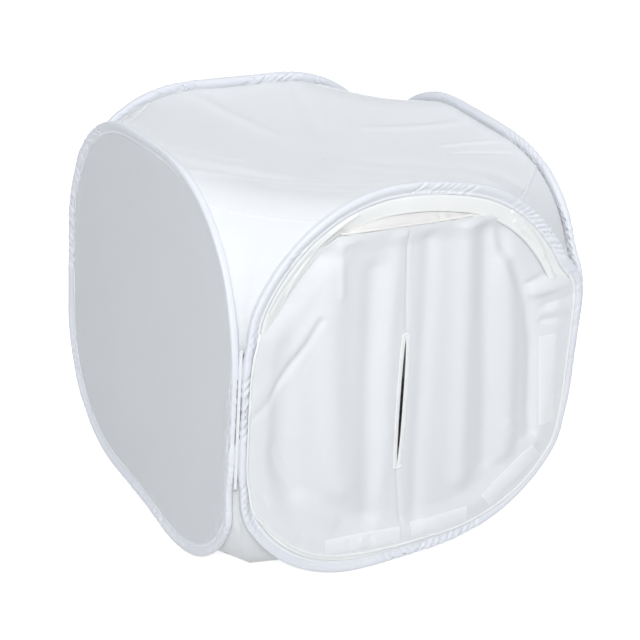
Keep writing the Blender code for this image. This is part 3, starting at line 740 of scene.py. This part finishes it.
def make_header():
    """The cover's margin above its seam: a bow, gathered a little along the seam."""
    top_edge = FRONT.inset(RIM_INNER - 0.0015)
    left = -float(sides_of(top_edge, HEADER_LINE + 0.003, -1))
    right = float(sides_of(top_edge, HEADER_LINE - 0.001, 1))
    x = np.linspace(left, right, 170)[None, :]
    upper = top_edge[top_edge[:, 1] > 0.1]
    upper = upper[np.argsort(upper[:, 0])]
    top = np.maximum(np.interp(x, upper[:, 0], upper[:, 1]), header_z(x))
    share = np.linspace(0, 1, 18)[:, None]
    z = header_z(x) + (top - header_z(x)) * share
    # Tucks of uneven width, strongest at the seam
    tucks = np.sin(x / 0.0042 + 5 * np.sin(x / 0.027) + 2.5 * share) * (0.5 + 0.5 * np.sin(x / 0.019))
    out = HEADER_OUT - 0.0052 * smooth(share) + 0.0010 * tucks * (1 - share) ** 0.8
    points = FRONT.place(x + 0 * z, z, out)
    piece = cloth_mesh("cover_header_cloth", points, SHADED_HEADER_POLYESTER, points[..., FROM_FRONT])
    fit(piece, "front_frame", "cover_header")


# The lens slit's ends over the hoop's middle, and how wide it gapes
SLIT_TOP, SLIT_FOOT, SLIT_GAP = 0.070, -0.113, 0.0052
# Where the middle seam lies across the front, from the foot of the cover up to the header
SEAM_HEIGHTS = (-0.225, SLIT_FOOT, SLIT_TOP, HEADER_LINE)
SEAM_PLACES = (-0.001, -0.0182, -0.0218, -0.0345)

# Folds of the cover in the front's plane, in metres: width, height, then the places each runs through
COVER_FOLDS = (
    (0.009, -0.0050, (0.100, 0.207), (0.115, 0.159), (0.146, 0.108), (0.161, 0.076), (0.175, 0.015),
     (0.190, -0.110)),
    (0.014, 0.0050, (0.118, 0.140), (0.136, 0.045), (0.147, -0.058), (0.152, -0.130)),
    (0.013, -0.0048, (0.084, 0.190), (0.093, 0.100), (0.107, 0.000), (0.121, -0.140)),
    (0.015, 0.0050, (0.052, 0.200), (0.062, 0.100), (0.070, 0.000), (0.083, -0.150)),
    (0.012, -0.0036, (0.000, 0.190), (0.006, 0.060), (0.012, -0.120), (0.018, -0.200)),
    (0.0022, -0.0012, (-0.034, 0.213), (-0.023, 0.078)),
    (0.0022, -0.0012, (-0.018, -0.120), (-0.002, -0.222)),
    (0.012, 0.0024, (-0.044, 0.200), (-0.046, 0.060), (-0.040, -0.060)),
    (0.015, -0.0052, (-0.074, 0.160), (-0.070, 0.020), (-0.062, -0.080), (-0.052, -0.170)),
    (0.022, 0.0056, (-0.127, 0.206), (-0.128, 0.080), (-0.114, -0.060), (-0.100, -0.120)),
    (0.005, 0.0016, (-0.127, 0.210), (-0.120, 0.140)),
    (0.022, -0.0042, (-0.198, 0.060), (-0.196, -0.040), (-0.168, -0.110)),
    (0.006, -0.0036, (-0.236, 0.000), (-0.215, 0.016), (-0.160, 0.085), (-0.146, 0.110)),
    (0.013, 0.0030, (-0.236, 0.022), (-0.200, 0.052), (-0.150, 0.110)),
    (0.014, -0.0036, (-0.200, -0.050), (-0.160, -0.110), (-0.090, -0.165), (-0.050, -0.180)),
    (0.012, 0.0030, (-0.205, -0.115), (-0.165, -0.130), (-0.110, -0.170)),
    (0.012, 0.0022, (-0.036, -0.070), (-0.042, -0.140), (-0.046, -0.190)),
    (0.005, -0.0034, (0.160, 0.106), (0.206, 0.127)),
    (0.007, 0.0032, (0.170, 0.092), (0.214, 0.100)),
    (0.004, -0.0022, (0.190, 0.074), (0.228, 0.083)),
    (0.005, 0.0018, (0.184, 0.062), (0.228, 0.066)),
    (0.004, -0.0016, (0.186, 0.050), (0.228, 0.052)),
    (0.009, 0.0026, (0.150, -0.090), (0.196, -0.132)),
    (0.004, -0.0024, (-0.158, -0.184), (-0.150, -0.192)),
    (0.004, 0.0020, (-0.150, -0.176), (-0.142, -0.186)),
    (0.004, -0.0024, (-0.213, -0.106), (-0.208, -0.115)),
    (0.0035, -0.0020, (-0.086, -0.206), (-0.080, -0.216)),
    (0.0035, -0.0020, (-0.052, -0.206), (-0.048, -0.216)),
    (0.0035, 0.0018, (-0.066, -0.206), (-0.062, -0.216)),
)
# Depth of the cover's free edge in from the sleeve's fold, by its turn in degrees from the right
COVER_DEPTHS = (
    (-180.0, 0.0075), (-168.0, 0.0078), (-160.0, 0.0092), (-152.0, 0.0125), (-145.0, 0.0180),
    (-138.0, 0.0212), (-124.0, 0.0205), (-108.0, 0.0230), (-94.0, 0.0200), (-80.0, 0.0185),
    (-62.0, 0.0140), (-45.0, 0.0090), (-25.0, 0.0085), (0.0, 0.0105), (40.0, 0.0120),
    (140.0, 0.0200), (153.0, 0.0146), (160.0, 0.0100), (170.0, 0.0080), (180.0, 0.0075),
)


def cover_edge_loop():
    """The cover's free edge round the front."""
    turn = np.degrees(np.arctan2(FRONT.loop[:, 1], FRONT.loop[:, 0]))
    return FRONT.inset(np.interp(turn, *zip(*COVER_DEPTHS)))


COVER_EDGE = cover_edge_loop()
TUCKED_EDGE = FRONT.inset(RIM_INNER - 0.0045)


# The cover is tucked inside the rim from this height up, sooner at the right than at the left
TUCK_START = 0.098
LEFT_TUCK, RIGHT_TUCK = 0.042, 0.030


def tucked(z, hand):
    """How far the cover's edge is tucked inside the rim at a height, as a share."""
    return smooth((z - TUCK_START) / np.where(hand < 0, LEFT_TUCK, RIGHT_TUCK))


def cover_reach(z, hand):
    """How far the cover's cloth reaches to one hand at a height."""
    wide, narrow = sides_of(COVER_EDGE, z, hand), sides_of(TUCKED_EDGE, z, hand)
    return wide + (narrow - wide) * tucked(z, hand)


def away(x, z, loop):
    """Distances from places to the nearest point of a loop."""
    x, z = np.broadcast_arrays(x, z)
    found = np.empty(x.shape)
    for row in range(x.shape[0]):
        gaps = np.hypot(x[row][:, None] - loop[None, :, 0], z[row][:, None] - loop[None, :, 1])
        found[row] = gaps.min(1)
    return found


# Where the cover stands out of the front hoop's plane: over the rim, how much further back where it is
# tucked, and in the middle, where it hangs back. Its highest fold, and its clearance over the sleeve.
COVER_ON_RIM = 0.0030
TUCK_DEPTH = 0.0058
COVER_BACK = -0.0026
FOLD_LIMIT = 0.0068
SLEEVE_CLEAR = 0.0009


def cover_out(x, z):
    """How far the cover's cloth stands out of the front hoop's plane."""
    depth = away(x, z, FRONT.loop)
    # On the rim it lies over the tape, and where it is tucked it goes behind, deeper at the left
    tuck = tucked(z, np.sign(x - seam_x(z)))
    rim_out = COVER_ON_RIM - (TUCK_DEPTH + TUCK_DEPTH * smooth((-x - 0.060) / 0.070)) * tuck
    inside = smooth((depth - RIM_INNER + 0.004) / 0.034)
    out = rim_out + (COVER_BACK - rim_out) * inside
    # At the top it comes forward to the header seam
    head = smooth((header_z(x) - z) / 0.030)
    out = HEADER_OUT + (out - HEADER_OUT) * head
    # The rim holds its folds down, and the seam ends them
    held = 0.35 + 0.65 * smooth((depth - 0.030) / 0.020)
    folds = np.clip(relief(x, z, COVER_FOLDS), -FOLD_LIMIT, FOLD_LIMIT)
    out = out + folds * held * smooth((header_z(x) - z) / 0.012)
    section = np.array(SLEEVE_SECTION) * MM
    sleeve = np.interp(depth, section[:, 0], section[:, 1], right=-1.0) + SLEEVE_CLEAR
    return np.where(depth < SLEEVE_WIDTH, np.maximum(out, sleeve), out)


def slit_half(z):
    """Half the slit's gape at a height."""
    middle, half = (SLIT_TOP + SLIT_FOOT) / 2, (SLIT_TOP - SLIT_FOOT) / 2
    return SLIT_GAP / 2 * np.maximum(1 - np.abs((z - middle) / half) ** 3, 0.0)


def seam_x(z):
    """The middle seam leans: it is further left at the header than at the foot."""
    return np.interp(z, SEAM_HEIGHTS, SEAM_PLACES)


# The halves lie this far from the middle seam, nearly edge to edge
SEAM_GAP = 0.00005


def make_cover():
    """The cover's two halves, with closer rows at the foot and at the header, where it bends most."""
    foot = float(COVER_EDGE[:, 1].min())
    low = foot + np.linspace(0, 1, 46)[:-1] ** 2 * 0.05
    high = np.linspace(HEADER_LINE - 0.019, HEADER_LINE, 14)
    rows = np.concatenate([low, np.linspace(foot + 0.05, HEADER_LINE - 0.02, 150), high])
    top = smooth((rows - HEADER_LINE + 0.03) / 0.03)[:, None]
    for hand, name in ((-1, "left"), (1, "right")):
        inner = seam_x(rows) + hand * (slit_half(rows) + SEAM_GAP)
        outer = hand * np.maximum(cover_reach(rows, hand), hand * inner)
        share = 1 - (1 - np.linspace(0, 1, 96)[None, :]) ** 1.15
        x = inner[:, None] + (outer - inner)[:, None] * share
        z = rows[:, None] + (header_z(x) - HEADER_LINE) * top
        points = FRONT.place(x, z, cover_out(x, z))
        uv = points[..., FROM_FRONT]
        piece = cloth_mesh(f"cover_cloth_{name}", points, COVER_POLYESTER, uv, thickness=COVER_THICKNESS)
        fit(piece, "front_cover", f"cover_{name}")


def tape_piece(
    name, x, z, finish, node, slot, half, out, crown, columns=9, under=False, body="front_cover"
):
    """A tape sewn along a line on the cover, on its face or under it. Its edges stand out from the
    cover's cloth, and its middle a crown's height further."""
    line = np.stack([x, z], 1)
    right = beside(line)
    share = np.linspace(-1, 1, columns)
    px = line[:, :1] + right[:, :1] * half * share
    pz = line[:, 1:] + right[:, 1:] * half * share
    lift = (out + crown * (1 - share[None, :] ** 4)) * (-1 if under else 1)
    points = FRONT.place(px, pz, cover_out(px, pz) + lift)
    uv = np.stack(np.meshgrid(run_along(line), (share + 1) * half, indexing="ij"), -1)
    piece = cloth_mesh(name, points, finish, uv, thickness=TAPE_THICKNESS)
    fit(piece, body, node)


def make_slit():
    """The slit's bindings down both cut edges, and a stitched tack over each of its ends."""
    z = np.linspace(SLIT_FOOT - 0.001, SLIT_TOP + 0.001, 110)
    binding = {"half": 0.0030, "out": 0.0007, "crown": 0.0008}
    for hand, name in ((-1, "left"), (1, "right")):
        x = seam_x(z) + hand * (slit_half(z) + 0.0028)
        tape_piece(f"slit_tape_{name}", x, z, EDGE_TAPE, f"slit_binding_{name}", "hook_tape", **binding)
    tack = {"half": 0.0017, "out": 0.0014, "crown": 0.0009}
    across = np.linspace(-1, 1, 15)
    for name, middle, bend in (("top", SLIT_TOP + 0.0015, 1), ("foot", SLIT_FOOT - 0.0020, -1)):
        x = across * 0.0056 + float(seam_x(middle))
        z = middle - bend * 0.0028 * across**2
        tape_piece(f"slit_stitch_{name}", x, z, SEWING_THREAD, f"slit_tack_{name}", "thread", **tack)


# Hook strips: the ends of each one's middle line and its width on the cover's face
STRIPS = {
    "hook_strip_right": ((0.197, 0.030), (0.213, -0.100), 0.0245),
    "hook_strip_corner": ((0.200, -0.137), (0.126, -0.198), 0.0245),
    "hook_strip_foot_right": ((0.096, -0.209), (0.010, -0.2125), 0.0215),
    "hook_strip_foot_left": ((-0.008, -0.2125), (-0.120, -0.203), 0.0215),
}


def make_strips():
    """Each hook strip under the cover, and the bar of tape over it on the cover's face."""
    share = np.linspace(0, 1, 70)
    bar = {"out": 0.0005, "crown": 0.0006, "columns": 15}
    hooks = {"half": 0.0076, "out": 0.0007, "crown": 0.0, "columns": 7, "under": True}
    for name, (first, last, width) in STRIPS.items():
        x, z = (first[i] + (last[i] - first[i]) * share for i in (0, 1))
        tape_piece(f"{name}_bar", x, z, BAR_TAPE, None, "hook_tape", half=width / 2, **bar)
        tape_piece(f"{name}_hooks", x, z, HOOK_NYLON, name, "hook_tape", **hooks)


def make_header_seam():
    """A piped seam just over the cover's straight top edge, clear of the cover as it swings up."""
    x = np.linspace(-0.1285, 0.0540, 110)
    z = np.maximum(header_z(x) + 0.0026, 0.2150)
    piping = {"half": 0.0014, "out": 0.0006, "crown": 0.0010, "body": "front_frame"}
    # The piping takes the header's cloth, with its painted shade
    tape_piece("header_piping", x, z, SHADED_HEADER_POLYESTER, None, "hook_tape", **piping)


def make_cover_hem():
    """The turned hem along the cover's free edge, from tuck to tuck by way of the foot."""
    edge = np.roll(COVER_EDGE, -STATIONS // 4, 0)
    edge = edge[edge[:, 1] < 0.112]
    x, z = (edge - beside(edge) * 0.0016).T
    hem = {"half": 0.0017, "out": 0.0004, "crown": 0.0009}
    tape_piece("cover_hem", x, z, EDGE_TAPE, None, "cover_cloth", **hem)


for side in SIDES:
    make_sleeve(side)
    make_quarter(side, True)
    make_quarter(side, False)
for side in CLOSED_SIDES:
    make_panel(side)
make_gussets(True)
make_gussets(False)
make_floor_middle()
make_front_band()
make_header()
make_cover()
make_slit()
make_strips()
make_cover_hem()
make_header_seam()


# Steel and thread that stay as the frame has them


def bare_steel(name, code, dark, roughness):
    """Cold-rolled steel with a low gleam. Its rolling marks, too fine to show, are streaks of 1 mm."""
    finish = new_finish(name)
    solid = add_node(finish, "TexCoord", {}, {}).outputs["Object"]
    streaks = noise(finish, solid, 900.0, 3.0)
    colour = blend(finish, streaks, srgb(code), srgb(dark))
    dull = maths(finish, "MULTIPLY_ADD", streaks, 0.2, roughness - 0.1)
    normal = bumped(finish, 0.3, 0.1 * MM, streaks)
    set_finish(finish, {"Base Color": colour, "Roughness": dull, "Normal": normal, "Metallic": 1.0})
    return finish


# Tempered strip, rolled smooth, a dull grey
SPRING_STEEL = bare_steel("spring_steel", "#a4a6aa", "#85878b", 0.35)
# Zinc-plated sheet, pressed round the strip, lighter and a little duller
CRIMP_STEEL = bare_steel("plated_crimp_steel", "#c2c4c7", "#a5a7aa", 0.4)


def seam_thread():
    """Spun polyester thread in a whipped bead, its turns 1.2 mm apart up the corner."""
    finish = new_finish("whipping_thread")
    solid = add_node(finish, "TexCoord", {}, {}).outputs["Object"]
    height = add_node(finish, "SeparateXYZ", {}, {0: solid}).outputs[2]
    turns = maths(finish, "SINE", maths(finish, "MULTIPLY", height, 2 * math.pi / (1.2 * MM)))
    normal = bumped(finish, 0.6, 0.4 * MM, turns)
    set_finish(finish, {"Base Color": srgb("#f2f4f6"), "Roughness": 0.7, "Normal": normal})
    return finish


FRAME_FINISHES = {"_spring_hoop": SPRING_STEEL, "_crimp": CRIMP_STEEL, "_corner_seam": seam_thread()}
for node_name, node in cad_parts.items():
    for ending, finish in FRAME_FINISHES.items():
        if node_name.endswith(ending):
            node.data.materials.clear()
            node.data.materials.append(finish)


# Floor, light and camera


def clear_rays(finish):
    """Rays that see the white surroundings: the camera's, and those through gloss and glass."""
    rays = add_node(finish, "LightPath", {}, {})
    seen = rays.outputs["Is Camera Ray"]
    for kind in ("Is Glossy Ray", "Is Transmission Ray"):
        seen = maths(finish, "MAXIMUM", seen, rays.outputs[kind])
    return seen


# The board's own light for the rays that see the surroundings, which brings it up to white
BOARD_LIFT = 0.78
BOARD_RADIUS = 9.0
BOARD_TOP = -0.0008


def pale_floor():
    """Painted board that the camera sees as white, still with the tent's soft shadow."""
    finish = new_finish("white_board")
    lift = maths(finish, "MULTIPLY", clear_rays(finish), BOARD_LIFT)
    surface = {"Base Color": srgb("#c9c9c9"), "Roughness": 0.9}
    set_finish(finish, {**surface, "Emission Color": srgb("#ffffff"), "Emission Strength": lift})
    return finish


bpy.ops.object.select_all(action="DESELECT")
bpy.ops.mesh.primitive_circle_add(
    vertices=96, radius=BOARD_RADIUS, fill_type="NGON", location=(0.0, 0.0, BOARD_TOP)
)
stage_floor = bpy.context.active_object
stage_floor.name = "stage_floor"
stage_floor.data.materials.append(pale_floor())

# The surroundings light the tent softly, a little cool, and the camera sees them as white
studio = bpy.data.worlds.new("studio")
bpy.context.scene.world = studio
studio.use_nodes = True
studio.node_tree.nodes.clear()
fill = add_node(studio, "Background", {}, {"Color": srgb("#f0f4fb"), "Strength": 0.48})
white = add_node(studio, "Background", {}, {"Color": srgb("#ffffff"), "Strength": 1.0})
sky = add_node(studio, "MixShader", {}, {0: clear_rays(studio), 1: fill.outputs[0], 2: white.outputs[0]})
add_node(studio, "OutputWorld", {}, {"Surface": sky.outputs[0]})


def soft_box(name, place, size, power):
    """A round soft box aimed at the middle of the tent."""
    lamp = bpy.data.lights.new(name, "AREA")
    lamp.shape = "DISK"
    lamp.size = size
    lamp.energy = power
    head = bpy.data.objects.new(name, lamp)
    bpy.context.scene.collection.objects.link(head)
    head.location = place
    head.rotation_euler = (Vector((0.0, 0.0, 0.25)) - Vector(place)).to_track_quat("-Z", "Y").to_euler()


# The key stands in front at the left, and the weaker top box over the tent
soft_box("key_box", (-1.55, -2.5, 2.15), 0.8, 77.0)
soft_box("top_box", (0.6, 0.6, 2.6), 1.6, 9.5)

# The camera's turn round the tent, height, roll and distance, as the photograph's outlines give them
AZIMUTH, ELEVATION, ROLL, DISTANCE = -0.5562, 0.4225, 0.0636, 2.11395
# Its focal length, its picture's side and where its middle ray meets it, in the photograph's pixels
FOCAL, IMAGE, CENTRE = 1567.06, 640.0, (314.146, 305.9403)
SENSOR = 36.0


def set_camera():
    """Stands the camera where the photograph was taken from, and makes it the scene's."""
    level = math.cos(ELEVATION)
    back = Vector((math.sin(AZIMUTH) * level, -math.cos(AZIMUTH) * level, math.sin(ELEVATION)))
    right = (-back).cross(Vector((0, 0, 1))).normalized()
    up = right.cross(-back)
    cos, sin = math.cos(ROLL), math.sin(ROLL)
    right, up = cos * right + sin * up, cos * up - sin * right
    lens = bpy.data.cameras.new("camera")
    lens.sensor_fit = "HORIZONTAL"
    lens.sensor_width = SENSOR
    lens.lens = FOCAL * SENSOR / IMAGE
    lens.shift_x = (IMAGE / 2 - CENTRE[0]) / IMAGE
    lens.shift_y = (CENTRE[1] - IMAGE / 2) / IMAGE
    camera = bpy.data.objects.new("camera", lens)
    bpy.context.scene.collection.objects.link(camera)
    turn = Matrix((right, up, back)).transposed().to_4x4()
    camera.matrix_world = Matrix.Translation(back * DISTANCE + Vector((0, 0, HALF_HEIGHT))) @ turn
    bpy.context.scene.camera = camera


set_camera()
bpy.context.scene.view_settings.view_transform = "Standard"
